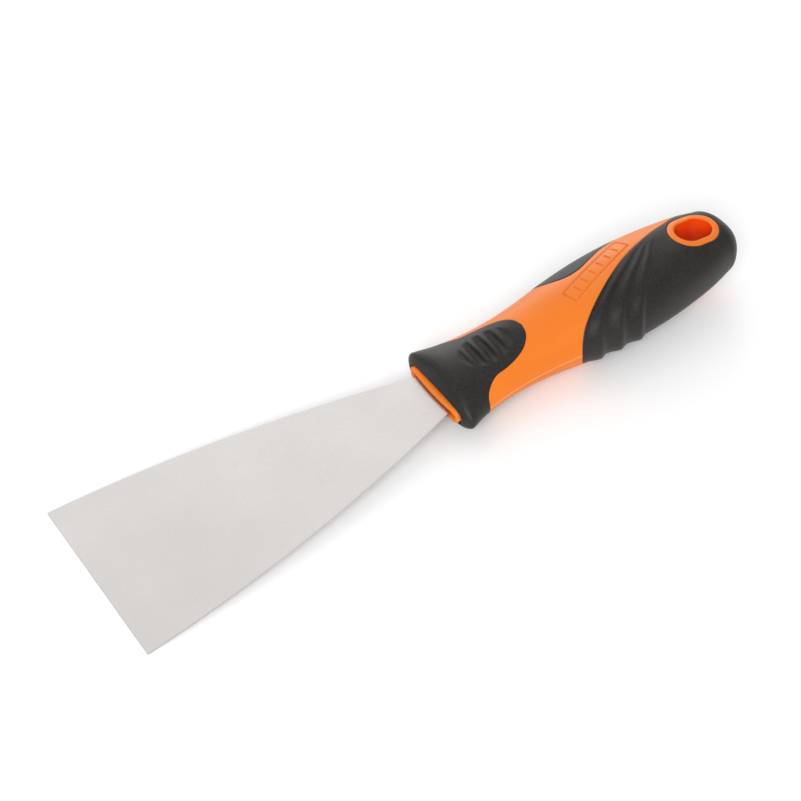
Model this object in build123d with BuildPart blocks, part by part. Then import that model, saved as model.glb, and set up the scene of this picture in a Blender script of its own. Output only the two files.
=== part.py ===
from build123d import *
from math import cos, radians, sin
import os

# A 63 mm flexible putty knife, in millimetres.
# The origin is the centre of the hang hole, on the plane halfway through the blade.
# +X runs from the blade to the butt, +Y across the blade, +Z out of its upper face.
# Lengthwise places are "stations": distances from the blade's scraping edge.

# ---- driving dimensions ----
hole_station = 222.5
mouth_station = 120.0
grind_station = 118.4
blade_tip_width = 63.0
blade_mid_width = 47.6
blade_mouth_width = 18.0
blade_thickness = 1.0
blade_tip_thickness = 0.5
tang_width = 15.0
tang_start = 127.0
tang_end = 184.0
tang_corner = 3.0
tang_hole_radius = 3.0
tang_hole_stations = (140.0, 158.0, 174.0)

nose_front = 119.2
nose_width = 26.6
nose_height = 5.2
nose_bulge = 0.9
nose_back = 132.0
slot_width = 23.6
slot_height = 2.2
slot_depth = 4.5

rubber_thickness = 2.2
core_front = 124.5
core_end = 233.0

ring_length = 17.4
ring_width = 14.2
hole_length = 13.0
hole_width = 9.6

scoop_station = 139.8
scoop_length = 21.0
scoop_width = 13.6
scoop_depth = 0.9
rib_count = 4
rib_pitch = 4.15
rib_width = 1.7
rib_length = 11.0

flute_count = 3
flute_depth = 0.9

panel_station = 185.4
panel_side = 3.1
panel_length = 29.5
panel_width = 5.2
panel_angle = 19.0
panel_groove = 0.6
panel_depth = 0.4
panel_bars = 6

# Outer shape of the handle: station, half-width, half-height, and how far along
# both of them the section's diagonal point lies (0.707 is an ellipse).
handle_sections = (
    (121.4, 14.5, 3.8, 0.74),
    (122.3, 16.8, 6.2, 0.73),
    (123.6, 18.0, 8.0, 0.72),
    (125.5, 17.7, 9.1, 0.72),
    (128.5, 16.1, 9.2, 0.71),
    (133.0, 14.9, 9.0, 0.71),
    (140.0, 14.0, 9.2, 0.71),
    (148.0, 13.6, 9.6, 0.71),
    (158.0, 13.9, 10.7, 0.712),
    (170.0, 15.3, 12.3, 0.718),
    (186.0, 16.6, 13.2, 0.73),
    (200.0, 16.2, 13.0, 0.74),
    (212.0, 14.9, 12.1, 0.75),
    (224.0, 12.8, 10.6, 0.757),
)
butt_start = (230.0, 11.2, 9.4, 0.757)
butt_length = 7.3
butt_angles = (0, 30, 52, 68, 79, 85)

# Inner shape, where the soft grips are moulded over the hard core.
core_nose_sections = (
    (core_front, 13.8, 6.0, 0.73),
    (127.5, 13.9, 7.0, 0.72),
)


def at(station):
    """The row's x of a station."""
    return station - hole_station


def butt_sections(inset, length):
    """The round butt: sections that shrink along a quarter ellipse."""
    station, half_width, half_height, diagonal = butt_start
    for angle in butt_angles:
        shrink = cos(radians(angle))
        yield (
            station + length * sin(radians(angle)),
            (half_width - inset) * shrink,
            (half_height - inset) * shrink,
            diagonal,
        )


def lofted(sections):
    """A solid lofted through oval sections across the handle."""
    with BuildPart() as form:
        for station, half_width, half_height, diagonal in sections:
            across = half_width * diagonal
            up = half_height * diagonal
            with BuildSketch(Plane.YZ.offset(at(station))):
                with BuildLine():
                    Spline(
                        (half_width, 0),
                        (across, up),
                        (0, half_height),
                        (-across, up),
                        (-half_width, 0),
                        (-across, -up),
                        (0, -half_height),
                        (across, -up),
                        periodic=True,
                    )
                make_face()
        loft()
    return form.part


def inset_sections(inset):
    """The handle's outer sections, drawn in by the same amount all round."""
    return [
        (station, half_width - inset, half_height - inset, diagonal)
        for station, half_width, half_height, diagonal in handle_sections
    ]


handle_form = lofted(inset_sections(0) + list(butt_sections(0, butt_length)))
groove_form = lofted(
    inset_sections(scoop_depth) + list(butt_sections(scoop_depth, butt_length - scoop_depth))
)
core_form = lofted(
    list(core_nose_sections)
    + [row for row in inset_sections(rubber_thickness) if row[0] > 130]
    + list(butt_sections(rubber_thickness, core_end - butt_start[0]))
)

# ---- blade: one spring-steel blank with a hidden tang ----
with BuildPart() as blade:
    with BuildSketch():
        with BuildLine():
            tip_edge = Line((at(0), -blade_tip_width / 2), (at(0), blade_tip_width / 2))
            upper_side = ThreePointArc(
                tip_edge @ 1,
                (at(mouth_station / 2), blade_mid_width / 2),
                (at(mouth_station), blade_mouth_width / 2),
            )
            shoulder = Line(upper_side @ 1, (at(tang_start), tang_width / 2))
            tang_side = Line(shoulder @ 1, (at(tang_end), tang_width / 2))
            tang_back = Line(tang_side @ 1, (at(tang_end), -tang_width / 2))
            lower_tang_side = Line(tang_back @ 1, (at(tang_start), -tang_width / 2))
            lower_shoulder = Line(lower_tang_side @ 1, (at(mouth_station), -blade_mouth_width / 2))
            ThreePointArc(
                lower_shoulder @ 1,
                (at(mouth_station / 2), -blade_mid_width / 2),
                tip_edge @ 0,
            )
        make_face()
    extrude(amount=blade_thickness / 2, both=True)
    tang_corners = blade.edges().filter_by(Axis.Z).sort_by(Axis.X)[-2:]
    fillet(tang_corners, radius=tang_corner)
    with Locations(*[(at(station), 0) for station in tang_hole_stations]):
        Hole(radius=tang_hole_radius)
    # Both faces are ground thinner from just ahead of the nose to the scraping edge.
    with BuildSketch(Plane.XZ):
        for side in (1, -1):
            with BuildLine():
                Polyline(
                    (at(grind_station), side * blade_thickness / 2),
                    (at(0), side * blade_tip_thickness / 2),
                    (at(0), side * blade_thickness),
                    (at(grind_station), side * blade_thickness),
                    close=True,
                )
            make_face()
    extrude(amount=blade_tip_width, both=True, mode=Mode.SUBTRACT)
blade.part.label = "blade"

# ---- front grip: the rubber collar with a thumb rest on each face ----
with BuildPart() as front_grip:
    add(handle_form)
    add(core_form, mode=Mode.SUBTRACT)
    with BuildSketch():
        with BuildLine():
            collar_end = Line((at(130.3), -24), (at(130.3), -16.5))
            lobe = Spline(
                collar_end @ 1,
                (at(132.0), -12.8),
                (at(137.0), -9.9),
                (at(147.0), -7.9),
                (at(153.4), 0),
                (at(147.0), 7.9),
                (at(137.0), 9.9),
                (at(132.0), 12.8),
                (at(130.3), 16.5),
                tangents=((0, 1), (0, 1)),
            )
            Polyline(lobe @ 1, (at(130.3), 24), (at(115), 24), (at(115), -24), collar_end @ 0)
        make_face()
    extrude(amount=30, both=True, mode=Mode.INTERSECT)
    # The nose of the core comes out through the collar.
    with BuildSketch(Plane.YZ.offset(at(nose_front))):
        SlotOverall(nose_width, nose_height)
    extrude(amount=nose_back - nose_front, mode=Mode.SUBTRACT)

# The thumb rest is a shallow scoop with ribs standing level with the collar.
with BuildPart() as scoop:
    with BuildSketch():
        with Locations((at(scoop_station), 0)):
            Ellipse(scoop_length / 2, scoop_width / 2)
        with Locations((at(scoop_station), 0)):
            with GridLocations(rib_pitch, 0, rib_count, 1):
                SlotOverall(rib_length, rib_width, rotation=90, mode=Mode.SUBTRACT)
    extrude(amount=30, both=True)
    add(groove_form, mode=Mode.SUBTRACT)

with BuildPart() as front_grip_finished:
    add(front_grip.part)
    add(scoop.part, mode=Mode.SUBTRACT)
front_grip_finished.part.label = "front_grip"

# ---- rear grip: the rubber that wraps the palm swell and the butt ----
with BuildPart() as rear_grip:
    add(handle_form)
    add(core_form, mode=Mode.SUBTRACT)
    with BuildSketch():
        with BuildLine():
            near_edge = Line((at(166.2), -24), (at(166.2), -15.5))
            sweep_edge = Spline(
                near_edge @ 1,
                (at(170.0), -12.0),
                (at(177.0), -7.6),
                (at(188.5), -1.4),
                (at(202.0), 3.9),
                (at(214.0), 7.5),
                (at(223.5), 11.0),
                tangents=((0, 1), (1, 0.45)),
            )
            far_edge = Spline(
                sweep_edge @ 1,
                (at(213.0), 13.7),
                (at(203.0), 14.1),
                (at(192.0), 10.5),
                (at(184.5), 7.4),
                (at(177.0), 6.1),
                (at(170.0), 8.7),
                (at(166.4), 16.5),
                tangents=((-1, 0.45), (0, 1)),
            )
            Polyline(
                far_edge @ 1,
                (at(166.4), 24),
                (at(245), 24),
                (at(245), -24),
                near_edge @ 0,
            )
        make_face()
    extrude(amount=30, both=True, mode=Mode.INTERSECT)
    with BuildSketch():
        SlotOverall(ring_length, ring_width)
    extrude(amount=30, both=True, mode=Mode.SUBTRACT)

# Three curved grooves sweep up from the near side and run out on top.
with BuildPart() as flutes:
    with BuildSketch():
        for flute in range(flute_count):
            foot = 175.8 + 7.2 * flute
            waist = (183.0 + 5.9 * flute, -8.4 - 1.3 * flute)
            crown = (196.5 + 3.8 * flute, -0.9 - 0.45 * flute)
            with BuildLine():
                ThreePointArc(
                    (at(foot - 1.6), -18),
                    (at(waist[0] - 1.1), waist[1]),
                    (at(crown[0]), crown[1]),
                )
                ThreePointArc(
                    (at(crown[0]), crown[1]),
                    (at(waist[0] + 1.1), waist[1]),
                    (at(foot + 1.6), -18),
                )
                Line((at(foot + 1.6), -18), (at(foot - 1.6), -18))
            make_face()
    extrude(amount=30, both=True)
    add(groove_form, mode=Mode.SUBTRACT)

with BuildPart() as rear_grip_finished:
    add(rear_grip.part)
    add(flutes.part, mode=Mode.SUBTRACT)
rear_grip_finished.part.label = "rear_grip"

# ---- handle core: the hard orange body that holds the tang ----
# A plain framed panel is sunk in the upper face.
with BuildPart() as panel:
    with BuildSketch():
        with Locations(Location((at(panel_station), panel_side), panel_angle)):
            Rectangle(panel_length, panel_width)
            Rectangle(panel_length - 2 * panel_groove, panel_width - 2 * panel_groove, mode=Mode.SUBTRACT)
            with GridLocations(panel_length / (panel_bars + 1), 0, panel_bars, 1):
                Rectangle(panel_groove, panel_width - 4 * panel_groove)
    extrude(amount=30)
    add(lofted(inset_sections(panel_depth)), mode=Mode.SUBTRACT)

with BuildPart() as handle_core:
    add(handle_form)
    add(front_grip.part, mode=Mode.SUBTRACT)
    add(rear_grip.part, mode=Mode.SUBTRACT)
    with BuildSketch(Plane.YZ.offset(at(nose_front))):
        SlotOverall(nose_width, nose_height)
    extrude(amount=nose_back - nose_front)
    # The front of the nose is slightly convex in plan.
    with BuildSketch():
        with BuildLine():
            front = ThreePointArc(
                (at(nose_front + nose_bulge), -nose_width / 2),
                (at(nose_front), 0),
                (at(nose_front + nose_bulge), nose_width / 2),
            )
            Polyline(
                front @ 1,
                (at(nose_front + nose_bulge), 30),
                (at(nose_front) - 10, 30),
                (at(nose_front) - 10, -30),
                (at(nose_front + nose_bulge), -30),
                front @ 0,
            )
        make_face()
    extrude(amount=10, both=True, mode=Mode.SUBTRACT)
    with BuildSketch(Plane.YZ.offset(at(nose_front))):
        SlotOverall(slot_width, slot_height)
    extrude(amount=slot_depth, mode=Mode.SUBTRACT)
    with BuildSketch():
        SlotOverall(hole_length, hole_width)
    extrude(amount=30, both=True, mode=Mode.SUBTRACT)
    add(blade.part, mode=Mode.SUBTRACT)
    add(panel.part, mode=Mode.SUBTRACT)
handle_core.part.label = "handle_core"

os.makedirs("parts", exist_ok=True)
export_step(blade.part, "parts/blade.step")
export_step(handle_core.part, "parts/handle_core.step")
export_step(front_grip_finished.part, "parts/front_grip.step")
export_step(rear_grip_finished.part, "parts/rear_grip.step")
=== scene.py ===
import math

import bmesh
import bpy
import numpy as np
from mathutils import Matrix, Vector


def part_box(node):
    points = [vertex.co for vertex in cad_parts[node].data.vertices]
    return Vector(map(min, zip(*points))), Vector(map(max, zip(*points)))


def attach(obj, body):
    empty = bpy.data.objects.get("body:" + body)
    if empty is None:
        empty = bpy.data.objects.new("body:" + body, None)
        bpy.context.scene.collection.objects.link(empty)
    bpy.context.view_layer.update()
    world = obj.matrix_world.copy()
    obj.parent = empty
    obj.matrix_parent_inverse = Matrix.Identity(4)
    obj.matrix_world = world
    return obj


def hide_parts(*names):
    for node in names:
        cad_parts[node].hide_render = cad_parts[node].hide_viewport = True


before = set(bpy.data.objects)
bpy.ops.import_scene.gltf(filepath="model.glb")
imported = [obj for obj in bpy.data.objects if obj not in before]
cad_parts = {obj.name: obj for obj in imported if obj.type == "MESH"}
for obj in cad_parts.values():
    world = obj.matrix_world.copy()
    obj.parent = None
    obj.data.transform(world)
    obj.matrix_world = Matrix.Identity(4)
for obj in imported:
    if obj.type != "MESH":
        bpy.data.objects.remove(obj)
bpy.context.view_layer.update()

# Everything is worked out in millimetres and scaled to metres when a mesh is made.
# A "station" is a distance from the scraping edge; the hang hole's centre is the frame's origin.
millimetre = 0.001
holeStation = round(-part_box("blade")[0].x / millimetre, 3)


def easeStep(low, high, value):
    # 0 below low, 1 above high, smooth between; high may be the lower of the two
    t = np.clip((value - low) / (high - low), 0.0, 1.0)
    return t * t * (3.0 - 2.0 * t)


def smoothRows(rows, count=0, spacing=None):
    # a smooth curve through rows of numbers, evenly spaced along its length;
    # or with steps that depend on the first number, when spacing is given
    rows = np.array(rows, float)
    gap = np.linalg.norm(np.diff(rows, axis=0), axis=1)
    place = np.concatenate([[0.0], np.cumsum(gap)])
    slope = np.diff(rows, axis=0) / gap[:, None]
    lean = np.empty_like(rows)
    lean[1:-1] = (slope[:-1] * gap[1:, None] + slope[1:] * gap[:-1, None]) / (gap[1:] + gap[:-1])[:, None]
    lean[0], lean[-1] = slope[0], slope[-1]
    if spacing is None:
        along = np.linspace(0.0, place[-1], count)
    else:
        along = [0.0]
        while along[-1] < place[-1] - 0.1:
            here = np.interp(along[-1], place, rows[:, 0])
            along.append(along[-1] + np.interp(here, *np.array(spacing).T))
        along = np.array(along) * place[-1] / along[-1]
    i = np.clip(np.searchsorted(place, along, side="right") - 1, 0, len(gap) - 1)
    h = gap[i][:, None]
    t = (along - place[i])[:, None] / h
    return ((2 * t ** 3 - 3 * t ** 2 + 1) * rows[i] + (t ** 3 - 2 * t ** 2 + t) * h * lean[i]
            + (3 * t ** 2 - 2 * t ** 3) * rows[i + 1] + (t ** 3 - t ** 2) * h * lean[i + 1])


def outlineDistance(station, across, outline):
    # distance to a closed outline seen from above, negative inside it
    a = outline
    b = np.roll(outline, -1, axis=0)
    edge = b - a
    length2 = np.maximum((edge ** 2).sum(axis=1), 1e-12)
    result = np.empty(len(station))
    for start in range(0, len(station), 4000):
        p = np.stack([station[start:start + 4000], across[start:start + 4000]], axis=1)[:, None, :]
        t = np.clip(((p - a) * edge).sum(axis=2) / length2, 0.0, 1.0)
        near = np.sqrt((((a + t[..., None] * edge) - p) ** 2).sum(axis=2)).min(axis=1)
        straddles = (a[:, 1] > p[..., 1]) != (b[:, 1] > p[..., 1])
        rise = np.where(np.abs(edge[:, 1]) < 1e-9, 1e-9, edge[:, 1])
        crossing = a[:, 0] + (p[..., 1] - a[:, 1]) * edge[:, 0] / rise
        inside = ((straddles & (p[..., 0] < crossing)).sum(axis=1) % 2) == 1
        result[start:start + 4000] = np.where(inside, -near, near)
    return result


fieldGrid = {"station": (108.0, 248.0), "across": (-26.0, 26.0), "step": 0.22}


def gridOf(outline):
    # the distance to an outline at every point of a fine grid
    g = fieldGrid
    stations = np.arange(g["station"][0], g["station"][1] + g["step"], g["step"])
    across = np.arange(g["across"][0], g["across"][1] + g["step"], g["step"])
    st, y = np.meshgrid(stations, across, indexing="ij")
    return outlineDistance(st.ravel(), y.ravel(), outline).reshape(st.shape)


def readGrid(grid, station, across):
    g = fieldGrid
    u = np.clip((station - g["station"][0]) / g["step"], 0, grid.shape[0] - 1.001)
    v = np.clip((across - g["across"][0]) / g["step"], 0, grid.shape[1] - 1.001)
    i, j = u.astype(int), v.astype(int)
    u, v = u - i, v - j
    return ((grid[i, j] * (1 - u) + grid[i + 1, j] * u) * (1 - v)
            + (grid[i, j + 1] * (1 - u) + grid[i + 1, j + 1] * u) * v)


def slotDistance(station, across, centre, length, width, turn=0.0):
    # distance to the outline of a round-ended slot, negative inside it
    u = (station - centre[0]) * math.cos(turn) + (across - centre[1]) * math.sin(turn)
    v = -(station - centre[0]) * math.sin(turn) + (across - centre[1]) * math.cos(turn)
    reach = (length - width) / 2
    return np.hypot(u - np.clip(u, -reach, reach), v) - width / 2


# Rows: station, half-width, half-height, squareness, then the same place on the core
# under the rubber. Squareness 2 is an ellipse; more is boxier.
handle = {
    "lip": (
        (126.0, 13.25, 2.55, 4.5, 126.0, 13.25, 2.55),
        (122.4, 13.25, 2.55, 4.5, 126.1, 13.25, 2.60),
        (121.0, 13.40, 2.70, 4.2, 126.2, 13.30, 2.90),
        (120.5, 14.10, 3.35, 3.5, 126.4, 13.40, 3.60),
        (120.9, 15.45, 4.70, 2.7, 126.7, 13.50, 4.90),
        (121.7, 16.90, 6.30, 2.25, 127.0, 13.70, 5.70),
        (122.7, 17.80, 7.50, 2.0, 127.6, 13.80, 6.20),
        (124.1, 17.40, 8.30, 1.93, 128.4, 13.70, 6.50),
        (126.0, 16.60, 8.70, 1.93, 129.4, 13.50, 6.60),
        (129.2, 15.55, 8.80, 1.96, 131.0, 13.10, 6.60),
    ),
    "body": (
        (134.0, 14.6, 8.75, 2.0),
        (140.0, 13.9, 8.95, 2.0),
        (148.0, 13.55, 9.45, 2.02),
        (158.0, 13.95, 10.7, 2.06),
        (170.0, 15.35, 12.3, 2.12),
        (186.0, 16.55, 13.08, 2.22),
        (200.0, 16.15, 12.92, 2.32),
        (212.0, 14.9, 12.05, 2.42),
        (224.0, 12.8, 10.6, 2.5),
        (230.0, 11.2, 9.4, 2.5),
    ),
    "buttLength": 7.2,
    "rubberThickness": 2.2,
    # row spacing by station: finer over the thumb rest and the flutes
    "rowSpacing": ((120.0, 0.36), (129.0, 0.36), (131.0, 0.26), (149.0, 0.26), (152.0, 0.5), (163.0, 0.5),
                   (168.0, 0.36), (210.0, 0.36), (216.0, 0.45), (240.0, 0.45)),
    "columns": 208,
    "equatorColumns": (-1.5, -0.7, 0.0, 0.7, 1.5),   # degrees, for the parting line
}

seam = {"rubberEdge": 0.42, "rubberDip": 0.20, "rubberStand": 0.05, "plasticEdge": 0.22, "plasticDip": 0.07}

collar = {
    "half": ((130.3, 24.0), (130.3, 16.5), (131.3, 13.9), (133.6, 11.7), (137.0, 10.0), (141.0, 9.5),
             (145.5, 8.6), (150.2, 6.6), (152.9, 3.6), (153.8, 0.0)),
}

palm = {
    "sweep": ((166.2, -24.0), (166.2, -15.2), (168.4, -12.9), (172.4, -10.2), (178.0, -7.0), (186.0, -2.7),
              (195.2, 1.7), (203.0, 4.4), (211.0, 6.7), (218.0, 8.4), (223.0, 10.4)),
    "farTongue": ((223.4, 11.6), (219.0, 12.9), (211.0, 13.9), (203.5, 14.0), (197.0, 12.2), (191.9, 10.6),
                  (185.9, 8.2), (181.1, 6.6), (177.7, 6.3), (174.8, 6.8), (170.8, 8.8), (168.2, 11.1),
                  (166.4, 15.5), (166.2, 24.0)),
    "beyondButt": ((245.0, 24.0), (245.0, -24.0)),
}

hangHole = {"ringLength": 17.7, "ringWidth": 14.2, "length": 13.2, "width": 9.6, "lip": 0.6, "wallRows": 14}

# Each line: foot station on the near side, how far it has moved back at the top, and how sharply it turns.
flutes = {
    "lines": ((166.3, 24.3, 2.25), (173.0, 23.0, 2.8), (180.5, 20.5, 2.5), (188.0, 16.3, 2.1)),
    "height": 0.85,
    "drop": 0.34,
}

thumbRest = {
    "centre": 139.9, "halfLength": 10.2, "halfWidth": 6.8, "depth": 1.25,
    # each rib: station, middle, half-length
    "ribs": ((133.4, 0.0, 5.8), (137.5, -0.1, 6.6), (141.65, 0.0, 6.8), (145.8, 0.2, 5.9)),
    "top": 0.5, "frontWall": 0.95, "backWall": 1.9,
}

panel = {
    "centre": (185.4, 3.2), "length": 29.4, "width": 5.2, "turn": 19.0,
    "groove": 0.36, "depth": 0.42, "bars": 6, "barHalfLength": 1.35,
}


def handleRows():
    # every row as (station, half-width, half-height, squareness,
    #               core station, core half-width, core half-height)
    t = handle["rubberThickness"]
    rows = list(handle["lip"])
    rows += [(s, w, h, q, s, w - t, h - t) for s, w, h, q in handle["body"]]
    dense = smoothRows(rows, spacing=handle["rowSpacing"])
    s, w, h, q = handle["body"][-1]
    slopeW = (dense[-1, 1] - dense[-2, 1]) / (dense[-1, 0] - dense[-2, 0])
    slopeH = (dense[-1, 2] - dense[-2, 2]) / (dense[-1, 0] - dense[-2, 0])
    butt = []
    for turn in np.linspace(0.0, 0.5 * math.pi, 34)[1:]:
        run, shrink = math.sin(turn), math.cos(turn)
        # the sides keep leaning in as they did, while the end rounds off
        wide = (w + slopeW * handle["buttLength"] * run * 0.55) * shrink
        high = (h + slopeH * handle["buttLength"] * run * 0.55) * shrink
        scaleW = (w - t) / w
        butt.append((s + handle["buttLength"] * run, wide, high, q,
                     s + (handle["buttLength"] - t) * run, wide * scaleW, high * scaleW))
    return np.vstack([dense, np.array(butt)])


profile = handleRows()
bodyStart = int(np.argmax(profile[:, 1]))       # the collar's crest; stations only rise from here on


def sectionPoint(halfWidth, halfHeight, squareness, turn):
    c, s = np.cos(turn), np.sin(turn)
    reach = (np.abs(c) ** squareness + np.abs(s) ** squareness) ** (-1.0 / squareness)
    return halfWidth * c * reach, halfHeight * s * reach


def ontoForm(points):
    # puts points behind the collar's crest exactly on the smooth form
    station = points[:, 0]
    rows = profile[bodyStart:]
    w = np.maximum(np.interp(station, rows[:, 0], rows[:, 1]), 1e-3)
    h = np.maximum(np.interp(station, rows[:, 0], rows[:, 2]), 1e-3)
    q = np.interp(station, rows[:, 0], rows[:, 3])
    size = (np.abs(points[:, 1] / w) ** q + np.abs(points[:, 2] / h) ** q) ** (1.0 / q)
    scale = np.where((station > 128.0) & (station < 229.0) & (size > 1e-6), 1.0 / np.maximum(size, 1e-6), 1.0)
    moved = points.copy()
    moved[:, 1] *= scale
    moved[:, 2] *= scale
    return moved


def formNormal(points):
    # the smooth form's own normal, for places between the collar and the butt
    def level(p):
        rows = profile[bodyStart:]
        w = np.maximum(np.interp(p[:, 0], rows[:, 0], rows[:, 1]), 1e-3)
        h = np.maximum(np.interp(p[:, 0], rows[:, 0], rows[:, 2]), 1e-3)
        q = np.interp(p[:, 0], rows[:, 0], rows[:, 3])
        return (np.abs(p[:, 1] / w) ** q + np.abs(p[:, 2] / h) ** q) ** (1.0 / q)

    steps = np.diag((0.25, 0.02, 0.02))
    slope = np.stack([(level(points + d) - level(points - d)) / (2 * d.max()) for d in steps], axis=1)
    return slope / np.linalg.norm(slope, axis=1)[:, None]


def sideAngle(points):
    # degrees round from the near side: 0 at the parting line, 90 on top or underneath, 180 on the far side
    rows = profile[bodyStart:]
    w = np.maximum(np.interp(points[:, 0], rows[:, 0], rows[:, 1]), 1e-3)
    h = np.maximum(np.interp(points[:, 0], rows[:, 0], rows[:, 2]), 1e-3)
    q = np.interp(points[:, 0], rows[:, 0], rows[:, 3])
    up = np.abs(points[:, 2] / h) ** (q / 2)
    out = -np.sign(points[:, 1]) * np.abs(points[:, 1] / w) ** (q / 2)
    return np.degrees(np.arctan2(up, out))


def closedOutline(*parts):
    # one closed line in plan, as seen from above
    return np.vstack([np.array(p, float) for p in parts])


collarHalf = smoothRows(collar["half"], 110)
collarOutline = closedOutline(collarHalf * (1, -1), collarHalf[::-1][1:], ((112.0, 24.0), (112.0, -24.0)))
palmOutline = closedOutline(smoothRows(palm["sweep"], 150), smoothRows(palm["farTongue"], 150),
                            palm["beyondButt"])
collarGrid, palmGrid = gridOf(collarOutline), gridOf(palmOutline)


def rubberField(points):
    # negative where the handle is rubber, positive where it is plastic, in millimetres from the seam
    st, y = points[:, 0], points[:, 1]
    front = readGrid(collarGrid, st, y)
    back = readGrid(palmGrid, st, y)
    ring = slotDistance(st, y, (holeStation - 0.15, 0.0), hangHole["ringLength"], hangHole["ringWidth"])
    return np.minimum(front, np.maximum(back, -ring))


def holeField(points):
    middle = (holeStation - 0.1, 0.0)
    return slotDistance(points[:, 0], points[:, 1], middle, hangHole["length"], hangHole["width"])


def panelField(points):
    # distance to the nearest groove line of the framed panel on the upper face
    turn = math.radians(panel["turn"])
    x, y = points[:, 0] - panel["centre"][0], points[:, 1] - panel["centre"][1]
    u = x * math.cos(turn) + y * math.sin(turn)
    v = -x * math.sin(turn) + y * math.cos(turn)
    dx = np.abs(u) - panel["length"] / 2
    dy = np.abs(v) - panel["width"] / 2
    frameLine = np.abs(np.hypot(np.maximum(dx, 0), np.maximum(dy, 0)) + np.minimum(np.maximum(dx, dy), 0))
    pitch = panel["length"] / (panel["bars"] + 1)
    outermost = (panel["bars"] - 1) / 2
    nearest = np.clip(np.round(u / pitch - 0.5) + 0.5, -outermost, outermost) * pitch
    bar = np.hypot(u - nearest, v - np.clip(v, -panel["barHalfLength"], panel["barHalfLength"]))
    return np.where(points[:, 2] > 2.0, np.minimum(frameLine, bar), 50.0)


def fluteRelief(points):
    # overlapping curved ridges: each rises slowly towards the butt and drops quickly behind its crest
    st, angle = points[:, 0], sideAngle(points)
    sweep = np.clip(angle, 0, 110) / 90.0
    lines = [foot + rise * sweep ** power for foot, rise, power in flutes["lines"]]
    height = np.zeros(len(st))
    drop = flutes["drop"]
    for i in range(len(lines)):
        width = lines[i + 1] - lines[i] if i + 1 < len(lines) else lines[i] - lines[i - 1]
        t = (st - lines[i]) / np.maximum(width, 0.5)
        rise = easeStep(drop if i else -0.05, 1.02, t) ** 1.25 if i + 1 < len(lines) else 0.0
        fall = 1.0 - easeStep(0.0, drop, t) if i else 0.0
        height = np.where((t >= 0) & (t < 1), np.maximum(rise, fall), height)
    strength = flutes["height"] * (1.0 - easeStep(50.0, 110.0, angle))
    lift = 0.14 + 0.86 * easeStep(38.0, 80.0, angle)
    starts = easeStep(lines[0] - 0.2, lines[0] + 0.8, st)
    inZone = starts * (1.0 - easeStep(lines[-1] + 3.0, lines[-1] + 14.0, st))
    return strength * (height - lift * 0.8 * inZone)


def thumbRelief(points):
    # a shallow dish with four ribs left standing; each rib is steep in front and slopes away behind
    r = thumbRest
    st, y = points[:, 0], points[:, 1]
    q = ((st - r["centre"]) / r["halfLength"]) ** 2 + (y / r["halfWidth"]) ** 2
    dish = easeStep(-0.15, 1.1, 1.0 - q) * easeStep(0.0, 0.3, 1.0 - q)
    rib = np.zeros(len(st))
    for place, middle, halfLength in r["ribs"]:
        along = st - place
        past = y - middle - np.clip(y - middle, -halfLength, halfLength)
        front = np.hypot(np.minimum(along, 0.0), past)
        back = np.hypot(np.maximum(along, 0.0) * r["frontWall"] / r["backWall"], past)
        away = np.where(along < 0.0, front, back)
        flat = r["top"] * np.where(along < 0.0, 1.0, 0.5)
        rib = np.maximum(rib, 1.0 - easeStep(flat, r["frontWall"], away))
    return np.where(np.abs(points[:, 2]) > 3.0, -r["depth"] * dish * (1.0 - 0.92 * rib), 0.0)


def rubberRelief(points, field):
    # how far the rubber stands off the smooth form
    away = -field
    roundOver = np.clip(1.0 - away / seam["rubberEdge"], 0.0, 1.0)
    relief = seam["rubberStand"] - seam["rubberDip"] * roundOver ** 2
    inFront = points[:, 0] < 160.0
    return relief + np.where(inFront, thumbRelief(points), fluteRelief(points))


def plasticRelief(points, field, panelAway):
    relief = -seam["plasticDip"] * np.clip(1.0 - field / seam["plasticEdge"], 0.0, 1.0) ** 2
    partingLine = 0.13 * np.exp(-(points[:, 2] / 0.22) ** 2)
    relief = relief + np.where((points[:, 0] < 210.0) & (np.abs(points[:, 1]) > 8), partingLine, 0.0)
    groove = 1.0 - easeStep(panel["groove"] * 0.35, panel["groove"], panelAway)
    return relief - panel["depth"] * groove


def lipDrop(points):
    # the rounded rim of the hang hole, as a drop towards the middle of the handle
    near = np.clip(1.0 - holeField(points) / hangHole["lip"], 0.0, 1.0)
    return hangHole["lip"] * (1.0 - np.sqrt(np.maximum(1.0 - near ** 2, 0.0))) * 0.9


def newPiece(name, vertices, faces, slotName, smooth=True):
    # vertices are (station, across, up) in millimetres
    points = np.array(vertices, float) - (holeStation, 0.0, 0.0)
    mesh = bpy.data.meshes.new(name)
    mesh.from_pydata((points * millimetre).tolist(), [], faces)
    bm = bmesh.new()
    bm.from_mesh(mesh)
    bmesh.ops.remove_doubles(bm, verts=bm.verts, dist=0.002 * millimetre)
    bmesh.ops.dissolve_degenerate(bm, edges=bm.edges, dist=0.0005 * millimetre)
    bmesh.ops.delete(bm, geom=[e for e in bm.edges if not e.link_faces], context="EDGES")
    bmesh.ops.recalc_face_normals(bm, faces=bm.faces)
    openEdges = sum(1 for e in bm.edges if len(e.link_faces) != 2)
    for face in bm.faces:
        face.smooth = smooth
    bm.to_mesh(mesh)
    bm.free()
    piece = bpy.data.objects.new(name, mesh)
    bpy.context.scene.collection.objects.link(piece)
    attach(piece, "root")
    print(name, len(mesh.vertices), "vertices,", openEdges, "edges not shared by two faces")
    return piece


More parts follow.
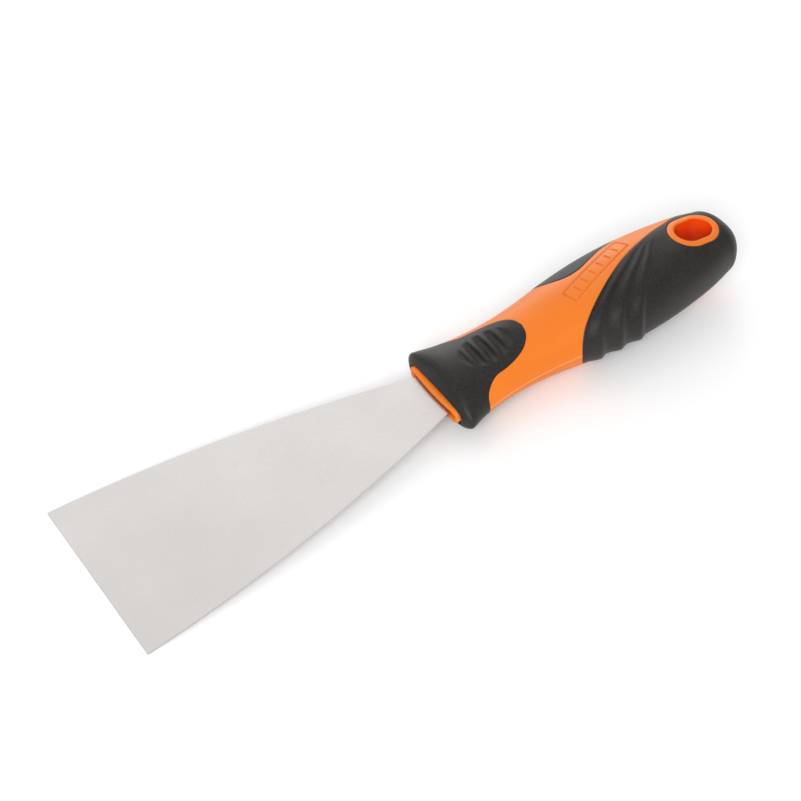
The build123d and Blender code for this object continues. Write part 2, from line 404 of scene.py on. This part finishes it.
def formGrid():
    # the whole outer form as one tube of quads; each vertex also carries its place on the core
    around = np.linspace(0.0, 2 * math.pi, handle["columns"], endpoint=False)
    equator = np.radians(handle["equatorColumns"])
    keep = [a for a in around
            if min(abs(a), abs(a - math.pi), abs(a - 2 * math.pi)) > math.radians(2.2)]
    around = np.sort(np.concatenate([keep, equator % (2 * math.pi), equator + math.pi]))
    columns = len(around)
    outer, inner = [], []
    for st, w, h, q, coreSt, coreW, coreH in profile:
        y, z = sectionPoint(w, h, q, around)
        outer.append(np.stack([np.full(columns, st), y, z], axis=1))
        y, z = sectionPoint(coreW, coreH, q, around)
        inner.append(np.stack([np.full(columns, coreSt), y, z], axis=1))
    outer, inner = np.vstack(outer), np.vstack(inner)
    faces = []
    for i in range(len(profile) - 1):
        for j in range(columns):
            k = (j + 1) % columns
            faces.append((i * columns + j, i * columns + k, (i + 1) * columns + k, (i + 1) * columns + j))
    return outer, inner, faces, columns


# In millimetres: how near a vertex counts as on the line, and how far from it edges are looked at.
cutting = {"snap": 0.012, "reach": 3.0, "panelReach": 2.0, "seamSnap": 0.02}


def cutAlong(bm, innerLayer, fieldOf, levels, reach):
    # splits edges and faces so that the field's level lines become real edges
    for level in levels:
        bm.verts.ensure_lookup_table()
        points = np.array([v.co for v in bm.verts])
        values = fieldOf(points) - level
        snap = np.abs(values) < cutting["snap"]
        values[snap] = 0.0
        bm.verts.index_update()
        onLine = {bm.verts[i] for i in np.nonzero(snap)[0]}
        for edge in list(bm.edges):
            v0, v1 = edge.verts
            a, b = values[v0.index], values[v1.index]
            if a * b >= 0.0 or abs(a) > reach or abs(b) > reach:
                continue
            t = a / (a - b)
            carried = v0[innerLayer].lerp(v1[innerLayer], t)
            new = bmesh.utils.edge_split(edge, v0, t)[1]
            new[innerLayer] = carried
            new.index = -1
            onLine.add(new)
        touched = {f for v in onLine for f in v.link_faces}
        for face in touched:
            ends = [v for v in face.verts if v in onLine]
            if len(ends) == 2 and not any(set(e.verts) == set(ends) for e in face.edges):
                bmesh.utils.face_split(face, ends[0], ends[1])


def makeForm():
    outer, inner, faces, columns = formGrid()
    mesh = bpy.data.meshes.new("form")
    mesh.from_pydata(outer.tolist(), [], faces)
    bm = bmesh.new()
    bm.from_mesh(mesh)
    bpy.data.meshes.remove(mesh)
    layer = bm.verts.layers.float_vector.new("core")
    bm.verts.ensure_lookup_table()
    for v, place in zip(bm.verts, inner):
        v[layer] = Vector(place)
    e, p = seam["rubberEdge"], seam["plasticEdge"]
    cutAlong(bm, layer, rubberField, (0.0, -e, -0.5 * e, -0.2 * e, p), cutting["reach"])
    lip = hangHole["lip"]
    cutAlong(bm, layer, holeField, (0.0, 0.08 * lip, 0.25 * lip, 0.55 * lip, lip), cutting["reach"])
    cutAlong(bm, layer, panelField, (0.35 * panel["groove"], panel["groove"]), cutting["panelReach"])
    return bm, layer, columns


print("handle form")
formMesh, coreLayer, formColumns = makeForm()
formMesh.verts.ensure_lookup_table()
formMesh.faces.ensure_lookup_table()
formMesh.verts.index_update()
formMesh.normal_update()
formPoints = ontoForm(np.array([v.co for v in formMesh.verts]))
formCore = np.array([v[coreLayer] for v in formMesh.verts])
formNormals = np.array([v.normal for v in formMesh.verts])
outward = np.sign((formNormals * formPoints)[:, 1:].sum(axis=1).mean())
formNormals *= outward
smoothPart = (formPoints[:, 0] > 130.0) & (formPoints[:, 0] < 233.0)
formNormals[smoothPart] = formNormal(formPoints[smoothPart])
formFaces = [[v.index for v in f.verts] for f in formMesh.faces]
formMiddles = np.array([f.calc_center_median() for f in formMesh.faces])
formMesh.free()
formField = rubberField(formPoints)
formField[np.abs(formField) < cutting["seamSnap"]] = 0.0
faceRubber = rubberField(formMiddles) < 0.0
faceHole = holeField(formMiddles) < 0.0
formPanel = panelField(formPoints)
print("form has", len(formPoints), "vertices")

rubberPlaces = formPoints + formNormals * rubberRelief(formPoints, formField)[:, None]
plasticLift = plasticRelief(formPoints, np.maximum(formField, 0.0), formPanel)
plasticPlaces = formPoints + formNormals * plasticLift[:, None]
plasticPlaces[:, 2] -= np.sign(formPoints[:, 2]) * lipDrop(formPoints)


def faceLoopEdges(faces):
    # directed edges that only one of the faces has
    seen = {}
    for f in faces:
        for a, b in zip(f, f[1:] + f[:1]):
            seen[(a, b)] = True
    return [(a, b) for a, b in seen if (b, a) not in seen]


def shell(faces, topPlaces, bottomPlaces):
    # a closed solid: the faces on top, the same faces turned over underneath, walls between
    used = sorted({v for f in faces for v in f})
    number = {v: i for i, v in enumerate(used)}
    count = len(used)
    vertices = [topPlaces[v] for v in used] + [bottomPlaces[v] for v in used]
    made = [[number[v] for v in f] for f in faces]
    made += [[number[v] + count for v in reversed(f)] for f in faces]
    for a, b in faceLoopEdges(faces):
        made.append([number[b], number[a], number[a] + count, number[b] + count])
    return vertices, made


print("rubber grips")
frontFaces = [f for f, r, m in zip(formFaces, faceRubber, formMiddles) if r and m[0] < 160.0]
rearFaces = [f for f, r, m in zip(formFaces, faceRubber, formMiddles) if r and m[0] > 160.0]
frontGrip = newPiece("frontGrip", *shell(frontFaces, rubberPlaces, formCore), "grip_rubber")
rearGrip = newPiece("rearGrip", *shell(rearFaces, rubberPlaces, formCore), "grip_rubber")

print("core")
nose = {
    "front": 118.9, "bulge": 0.8, "width": 26.5, "height": 5.1, "slotWidth": 23.6, "slotHeight": 2.4,
    "slotDepth": 4.4, "rounding": 0.42, "hidden": 128.0, "columns": 120,
}


def coreMesh():
    vertices = np.vstack([plasticPlaces, formCore]).tolist()
    count = len(plasticPlaces)
    faces = []
    for f, rubber, hole in zip(formFaces, faceRubber, faceHole):
        if hole:
            continue
        faces.append([v + count for v in f] if rubber else list(f))
    plasticOnly = [f for f, r, h in zip(formFaces, faceRubber, faceHole) if not r and not h]
    rubberOnly = [f for f, r in zip(formFaces, faceRubber) if r]
    rubberEdges = set(faceLoopEdges(rubberOnly))
    holeEdges = []
    for a, b in faceLoopEdges(plasticOnly):
        if (b, a) in rubberEdges:
            faces.append([b, a, a + count, b + count])       # the step down under the rubber
        else:
            holeEdges.append((a, b))
    # the wall of the hang hole joins its upper and lower edges
    follow = dict(holeEdges)
    upperStart = next(a for a in follow if vertices[a][2] > 0)
    loop = [upperStart]
    while follow[loop[-1]] != upperStart:
        loop.append(follow[loop[-1]])
    rows = hangHole["wallRows"]
    previous = loop
    for r in range(1, rows + 1):
        current = []
        for a in loop:
            x, y, z = vertices[a]
            current.append(len(vertices))
            vertices.append([x, y, -z if r == rows else z * (1.0 - 2.0 * r / rows)])
        for k in range(len(loop)):
            n = (k + 1) % len(loop)
            faces.append([previous[n], previous[k], current[k], current[n]])
        previous = current
    return vertices, faces


coreVertices, coreFaces = coreMesh()


def slotOutline(width, height, count):
    # points round a round-ended slot, as (across, up), evenly spaced
    reach, radius = (width - height) / 2, height / 2
    total = 4 * reach + 2 * math.pi * radius
    points = []
    for k in range(count):
        d = (k + 0.5) / count * total
        if d < 2 * reach:
            points.append((-reach + d, -radius))
        elif d < 2 * reach + math.pi * radius:
            a = (d - 2 * reach) / radius - math.pi / 2
            points.append((reach + radius * math.cos(a), radius * math.sin(a)))
        elif d < 4 * reach + math.pi * radius:
            points.append((reach - (d - 2 * reach - math.pi * radius), radius))
        else:
            a = (d - 4 * reach - math.pi * radius) / radius + math.pi / 2
            points.append((-reach + radius * math.cos(a), radius * math.sin(a)))
    return points


def noseMesh():
    # rings from inside the handle, forward over the rounded rim and back into the blade slot
    w, h, sw, sh, r = nose["width"], nose["height"], nose["slotWidth"], nose["slotHeight"], nose["rounding"]
    steps = [(nose["hidden"], w, h), (124.0, w, h), (nose["front"] + r + 0.9, w, h)]
    for turn in (15, 35, 55, 75, 90):
        a = math.radians(turn)
        inset = 2 * r * (1 - math.cos(a))
        steps.append((nose["front"] + r * (1 - math.sin(a)), w - inset, h - inset))
    for turn in (90, 65, 40, 15, 0):
        a = math.radians(turn)
        spread = 2 * r * 0.7 * (1 - math.cos(a))
        steps.append((nose["front"] + r * 0.7 * (1 - math.sin(a)), sw + spread, sh + spread))
    steps += [(nose["front"] + 1.8, sw, sh), (nose["front"] + 3.2, sw - 0.1, sh - 0.1),
              (nose["front"] + nose["slotDepth"], sw - 0.2, sh - 0.2)]
    n = nose["columns"]
    vertices, faces = [], []
    for st, width, height in steps:
        for y, z in slotOutline(width, height, n):
            ahead = 1.0 - easeStep(nose["front"] + 1.5, 124.0, st)
            vertices.append((st + ahead * nose["bulge"] * (y / (w / 2)) ** 2, y, z))
    for i in range(len(steps) - 1):
        for j in range(n):
            k = (j + 1) % n
            faces.append((i * n + j, i * n + k, (i + 1) * n + k, (i + 1) * n + j))
    for i, way in ((0, 1), (len(steps) - 1, -1)):
        ring = [i * n + j for j in range(n)][::way]
        st = steps[i][0]
        vertices.append((st, 0.0, 0.0))
        middle = len(vertices) - 1
        for j in range(n):
            faces.append((ring[(j + 1) % n], ring[j], middle))
    return vertices, faces


noseVertices, noseFaces = noseMesh()
offset = len(coreVertices)
# the core's own front end, hidden inside the nose
firstRing = [v + len(plasticPlaces) for v in range(formColumns)]
coreFaces.append(firstRing[::-1])
handleCore = newPiece("handleCore", coreVertices + [list(v) for v in noseVertices],
                      coreFaces + [[v + offset for v in f] for f in noseFaces], "orange_plastic")

print("blade")
blade = {
    "tipWidth": 63.0, "midWidth": 47.6, "mouthWidth": 18.0, "mouth": 120.0,
    "thickness": 1.0, "tipThickness": 0.5, "grindStart": 118.4,
    "tangWidth": 15.0, "tangStart": 127.0, "tangEnd": 184.0,
    "edgeBreak": 0.09, "rows": 72,
}


def bladeHalfWidth(station):
    # the arc through the tip corner, the middle and the mouth, then the tang's shoulder
    x1, y1 = 0.0, blade["tipWidth"] / 2
    x2, y2 = blade["mouth"] / 2, blade["midWidth"] / 2
    x3, y3 = blade["mouth"], blade["mouthWidth"] / 2
    d = 2 * (x1 * (y2 - y3) + x2 * (y3 - y1) + x3 * (y1 - y2))
    r1, r2, r3 = x1 ** 2 + y1 ** 2, x2 ** 2 + y2 ** 2, x3 ** 2 + y3 ** 2
    ux = (r1 * (y2 - y3) + r2 * (y3 - y1) + r3 * (y1 - y2)) / d
    uy = (r1 * (x3 - x2) + r2 * (x1 - x3) + r3 * (x2 - x1)) / d
    radius = math.hypot(x1 - ux, y1 - uy)
    if station <= blade["mouth"]:
        return uy + math.sqrt(radius ** 2 - (station - ux) ** 2)
    t = min((station - blade["mouth"]) / (blade["tangStart"] - blade["mouth"]), 1.0)
    return blade["mouthWidth"] / 2 * (1 - t) + blade["tangWidth"] / 2 * t


def bladeHalfThickness(station):
    t = min(max(station / blade["grindStart"], 0.0), 1.0)
    return (blade["tipThickness"] * (1 - t) + blade["thickness"] * t) / 2


def bladeMesh():
    e = blade["edgeBreak"]
    stations = [0.0, e] + [blade["grindStart"] * k / blade["rows"] for k in range(1, blade["rows"] + 1)]
    stations += [blade["mouth"], blade["tangStart"], blade["tangEnd"]]
    vertices, faces = [], []
    for n, st in enumerate(stations):
        w, t = bladeHalfWidth(st), bladeHalfThickness(st)
        if n == 0:
            w, t = w - e, t - e
        for y, z in ((-w, -t + e), (-w + e, -t), (w - e, -t), (w, -t + e),
                     (w, t - e), (w - e, t), (-w + e, t), (-w, t - e)):
            vertices.append((st, y, z))
    for i in range(len(stations) - 1):
        for j in range(8):
            k = (j + 1) % 8
            faces.append((i * 8 + j, i * 8 + k, i * 8 + 8 + k, i * 8 + 8 + j))
    faces.append(tuple(range(8))[::-1])
    last = (len(stations) - 1) * 8
    faces.append(tuple(range(last, last + 8)))
    return vertices, faces


bladePiece = newPiece("bladeSteel", *bladeMesh(), "blade_steel", smooth=False)

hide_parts("blade")
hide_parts("handle_core")
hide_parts("front_grip")
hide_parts("rear_grip")

print("materials")


def newMaterial(name):
    material = bpy.data.materials.new(name)
    material.use_nodes = True
    nodes, links = material.node_tree.nodes, material.node_tree.links
    return material, nodes, links, nodes["Principled BSDF"]


def noiseNode(nodes, links, coords, scale, detail=2.0, rough=0.5):
    noise = nodes.new("ShaderNodeTexNoise")
    noise.inputs["Scale"].default_value = scale
    noise.inputs["Detail"].default_value = detail
    noise.inputs["Roughness"].default_value = rough
    links.new(coords, noise.inputs["Vector"])
    return noise


def ramp(nodes, links, value, stops):
    node = nodes.new("ShaderNodeValToRGB")
    elements = node.color_ramp.elements
    while len(elements) < len(stops):
        elements.new(0.5)
    for element, (place, colour) in zip(elements, stops):
        element.position = place
        element.color = (*colour, 1.0)
    links.new(value, node.inputs["Fac"])
    return node


def mappedCoords(nodes, links, scale):
    coords = nodes.new("ShaderNodeTexCoord")
    mapping = nodes.new("ShaderNodeMapping")
    mapping.inputs["Scale"].default_value = scale
    links.new(coords.outputs["Object"], mapping.inputs["Vector"])
    return mapping.outputs["Vector"]


def bumpChain(nodes, links, shader, layers):
    # layers: (height socket, strength, distance in metres)
    last = None
    for height, strength, distance in layers:
        bump = nodes.new("ShaderNodeBump")
        bump.inputs["Strength"].default_value = strength
        bump.inputs["Distance"].default_value = distance
        links.new(height, bump.inputs["Height"])
        if last:
            links.new(last, bump.inputs["Normal"])
        last = bump.outputs["Normal"]
    links.new(last, shader.inputs["Normal"])


rubberFinish = {
    "dark": (0.0095, 0.0082, 0.0072), "light": (0.0215, 0.019, 0.0168), "roughness": (0.38, 0.56),
    "grain": 2300.0, "grainDepth": 0.00012, "sheen": 0.03, "sheenRoughness": 0.45, "specular": 0.27,
}


def softRubber():
    f = rubberFinish
    material, nodes, links, shader = newMaterial("softTouchRubber")
    coords = mappedCoords(nodes, links, (1, 1, 1))
    grain = noiseNode(nodes, links, coords, f["grain"], 3.0, 0.65)
    cloud = noiseNode(nodes, links, coords, 90.0, 3.0)
    speckle = noiseNode(nodes, links, coords, f["grain"], 1.0, 0.4)
    mixed = nodes.new("ShaderNodeMath")
    mixed.operation = "MULTIPLY_ADD"
    links.new(cloud.outputs["Fac"], mixed.inputs[0])
    mixed.inputs[1].default_value = 0.4
    links.new(speckle.outputs["Fac"], mixed.inputs[2])
    tint = ramp(nodes, links, mixed.outputs["Value"], ((0.56, f["dark"]), (0.86, f["light"])))
    links.new(tint.outputs["Color"], shader.inputs["Base Color"])
    low, high = f["roughness"]
    rough = ramp(nodes, links, grain.outputs["Fac"], ((0.3, (low,) * 3), (0.7, (high,) * 3)))
    links.new(rough.outputs["Color"], shader.inputs["Roughness"])
    shader.inputs["Specular IOR Level"].default_value = f["specular"]
    shader.inputs["Sheen Weight"].default_value = f["sheen"]
    shader.inputs["Sheen Roughness"].default_value = f["sheenRoughness"]
    bumpChain(nodes, links, shader, ((grain.outputs["Fac"], 0.55, f["grainDepth"]),))
    return material


plasticFinish = {
    "colour": (0.755, 0.183, 0.012), "deep": (0.69, 0.155, 0.008), "roughness": (0.36, 0.48),
    "grain": 3600.0, "grainDepth": 0.000016, "specular": 0.32,
    "lineWidth": 0.00026, "lineColour": (0.9, 0.33, 0.06),
}


# painted shade: a deeper, redder orange for the hang hole's wall, in place of light bounced round inside the
# hole
paintedHoleShadeFinish = dict(plasticFinish, colour=(0.86, 0.085, 0.003), deep=(0.74, 0.05, 0.002), lineWidth=0.00001)


def orangePlastic(name, f):
    material, nodes, links, shader = newMaterial(name)
    coords = mappedCoords(nodes, links, (1, 1, 1))
    grain = noiseNode(nodes, links, coords, f["grain"], 2.0, 0.6)
    flow = noiseNode(nodes, links, mappedCoords(nodes, links, (0.35, 1, 1)), 60.0, 3.0)
    tint = ramp(nodes, links, flow.outputs["Fac"], ((0.25, f["deep"]), (0.7, f["colour"])))
    # the moulding line along both sides is paler
    place = nodes.new("ShaderNodeSeparateXYZ")
    links.new(coords, place.inputs["Vector"])
    height = nodes.new("ShaderNodeMath")
    height.operation = "ABSOLUTE"
    links.new(place.outputs["Z"], height.inputs[0])
    line = nodes.new("ShaderNodeMapRange")
    line.inputs["From Min"].default_value = f["lineWidth"]
    line.inputs["From Max"].default_value = 0.4 * f["lineWidth"]
    links.new(height.outputs["Value"], line.inputs["Value"])
    paler = nodes.new("ShaderNodeMix")
    paler.data_type = "RGBA"
    links.new(line.outputs["Result"], paler.inputs["Factor"])
    links.new(tint.outputs["Color"], paler.inputs["A"])
    paler.inputs["B"].default_value = (*f["lineColour"], 1.0)
    links.new(paler.outputs["Result"], shader.inputs["Base Color"])
    low, high = f["roughness"]
    rough = ramp(nodes, links, grain.outputs["Fac"], ((0.3, (low,) * 3), (0.7, (high,) * 3)))
    links.new(rough.outputs["Color"], shader.inputs["Roughness"])
    shader.inputs["Specular IOR Level"].default_value = f["specular"]
    bumpChain(nodes, links, shader, ((grain.outputs["Fac"], 0.4, f["grainDepth"]),
                                     (flow.outputs["Fac"], 0.15, 0.00008)))
    return material


steelFinish = {
    "colour": (0.595, 0.568, 0.55), "bright": (0.645, 0.617, 0.60), "roughness": (0.24, 0.36),
    "grainAcross": 16.0, "grainDepth": 0.000004,
}


def springSteel():
    f = steelFinish
    material, nodes, links, shader = newMaterial("groundSpringSteel")
    # grinding marks run across the blade: stretched noise, fine along it
    stretched = mappedCoords(nodes, links, (160.0, f["grainAcross"], 160.0))
    lines = noiseNode(nodes, links, stretched, 40.0, 4.0, 0.7)
    cloud = noiseNode(nodes, links, mappedCoords(nodes, links, (1, 1, 1)), 28.0, 4.0)
    tint = ramp(nodes, links, cloud.outputs["Fac"], ((0.3, f["colour"]), (0.7, f["bright"])))
    links.new(tint.outputs["Color"], shader.inputs["Base Color"])
    shader.inputs["Metallic"].default_value = 1.0
    low, high = f["roughness"]
    rough = ramp(nodes, links, lines.outputs["Fac"], ((0.3, (low,) * 3), (0.7, (high,) * 3)))
    links.new(rough.outputs["Color"], shader.inputs["Roughness"])
    bumpChain(nodes, links, shader, ((lines.outputs["Fac"], 0.25, f["grainDepth"]),))
    return material


frontGrip.data.materials.append(softRubber())
handleCore.data.materials.append(orangePlastic("orangePolypropylene", plasticFinish))
bladePiece.data.materials.append(springSteel())
rearGrip.data.materials.append(frontGrip.data.materials[0])


def paintHoleWallShade():
    # painted shade: the hang hole's wall gets a deeper, redder orange that stands in for light that gets into
    # the hole and is coloured by the plastic again and again
    mesh = handleCore.data
    mesh.materials.append(orangePlastic("orangeHoleWallPaintedShade", paintedHoleShadeFinish))
    farX, farY = hangHole["length"] / 2 * 1.02, hangHole["width"] / 2 * 1.02
    for face in mesh.polygons:
        x, y, z = face.center / millimetre
        if abs(face.normal.z) < 0.35 and abs(x) < farX and abs(y) < farY and abs(z) < 9.8:
            face.material_index = 1


paintHoleWallShade()

print("floor, light and camera")


def layFloor():
    # the knife rests on its scraping edge and the belly of its handle
    tipUnder = blade["tipThickness"] / 2
    lowest = 0.0
    for piece in (rearGrip, handleCore, frontGrip):
        for v in piece.data.vertices:
            station = v.co.x / millimetre + holeStation
            lowest = max(lowest, (-v.co.z / millimetre - tipUnder) / station)
    mesh = bpy.data.meshes.new("floor")
    corners = []
    for st, y in ((-2500, -2500), (2500, -2500), (2500, 2500), (-2500, 2500)):
        corners.append(((st - holeStation) * millimetre, y * millimetre,
                        (-tipUnder - 0.03 - lowest * st) * millimetre))
    mesh.from_pydata(corners, [], [(0, 1, 2, 3)])
    floor = bpy.data.objects.new("floor", mesh)
    bpy.context.scene.collection.objects.link(floor)
    material, nodes, links, shader = newMaterial("paleTable")
    shader.inputs["Base Color"].default_value = (0.93, 0.93, 0.93, 1)
    shader.inputs["Roughness"].default_value = 0.75
    shader.inputs["Specular IOR Level"].default_value = 0.2
    mesh.materials.append(material)
    return math.degrees(math.atan(lowest))


print("the handle stands up from the floor at", round(layFloor(), 2), "degrees")

studio = {
    "target": Vector((-0.02, 0.0, 0.0)),
    # name, place, size, power in watts
    "lamps": (
        ("nearLamp", (-0.66, -0.66, 0.72), 0.6, 10.2),
        ("farLamp", (0.25, 0.85, 0.8), 1.5, 3.6),
        ("sideLamp", (0.45, 1.05, 0.35), 0.7, 4.2),
    ),
    "worldColour": (1.0, 1.0, 1.0), "worldStrength": 0.61,
}


def addLamps():
    for name, place, size, power in studio["lamps"]:
        data = bpy.data.lights.new(name, "AREA")
        data.shape = "SQUARE"
        data.size = size
        data.energy = power
        lamp = bpy.data.objects.new(name, data)
        lamp.location = place
        aim = studio["target"] - Vector(place)
        lamp.rotation_mode = "QUATERNION"
        lamp.rotation_quaternion = aim.to_track_quat("-Z", "Y")
        bpy.context.scene.collection.objects.link(lamp)
    world = bpy.data.worlds.new("studioWorld")
    world.use_nodes = True
    background = world.node_tree.nodes["Background"]
    background.inputs["Color"].default_value = (*studio["worldColour"], 1)
    background.inputs["Strength"].default_value = studio["worldStrength"]
    bpy.context.scene.world = world


addLamps()

eye = {
    "azimuth": -29.22, "elevation": 48.92, "roll": -6.0, "distance": 622.2,
    "station": 110.2, "across": 4.33, "lens": 89.9,
}


def addCamera():
    a, e, r = (math.radians(eye[k]) for k in ("azimuth", "elevation", "roll"))
    back = Vector((math.sin(a) * math.cos(e), -math.cos(a) * math.cos(e), math.sin(e)))
    right = (-back).cross(Vector((0, 0, 1))).normalized()
    up = right.cross(-back)
    side = right * math.cos(r) + up * math.sin(r)
    top = up * math.cos(r) - right * math.sin(r)
    data = bpy.data.cameras.new("camera")
    data.lens = eye["lens"]
    data.sensor_width = 36.0
    data.clip_start, data.clip_end = 0.01, 20.0
    camera = bpy.data.objects.new("camera", data)
    spot = Vector((eye["station"] - holeStation, eye["across"], 0.0)) + back * eye["distance"]
    turned = Matrix((side, top, back)).transposed().to_4x4()
    camera.matrix_world = Matrix.Translation(spot * millimetre) @ turned
    bpy.context.scene.collection.objects.link(camera)
    bpy.context.scene.camera = camera


addCamera()
bpy.context.scene.view_settings.view_transform = "Standard"
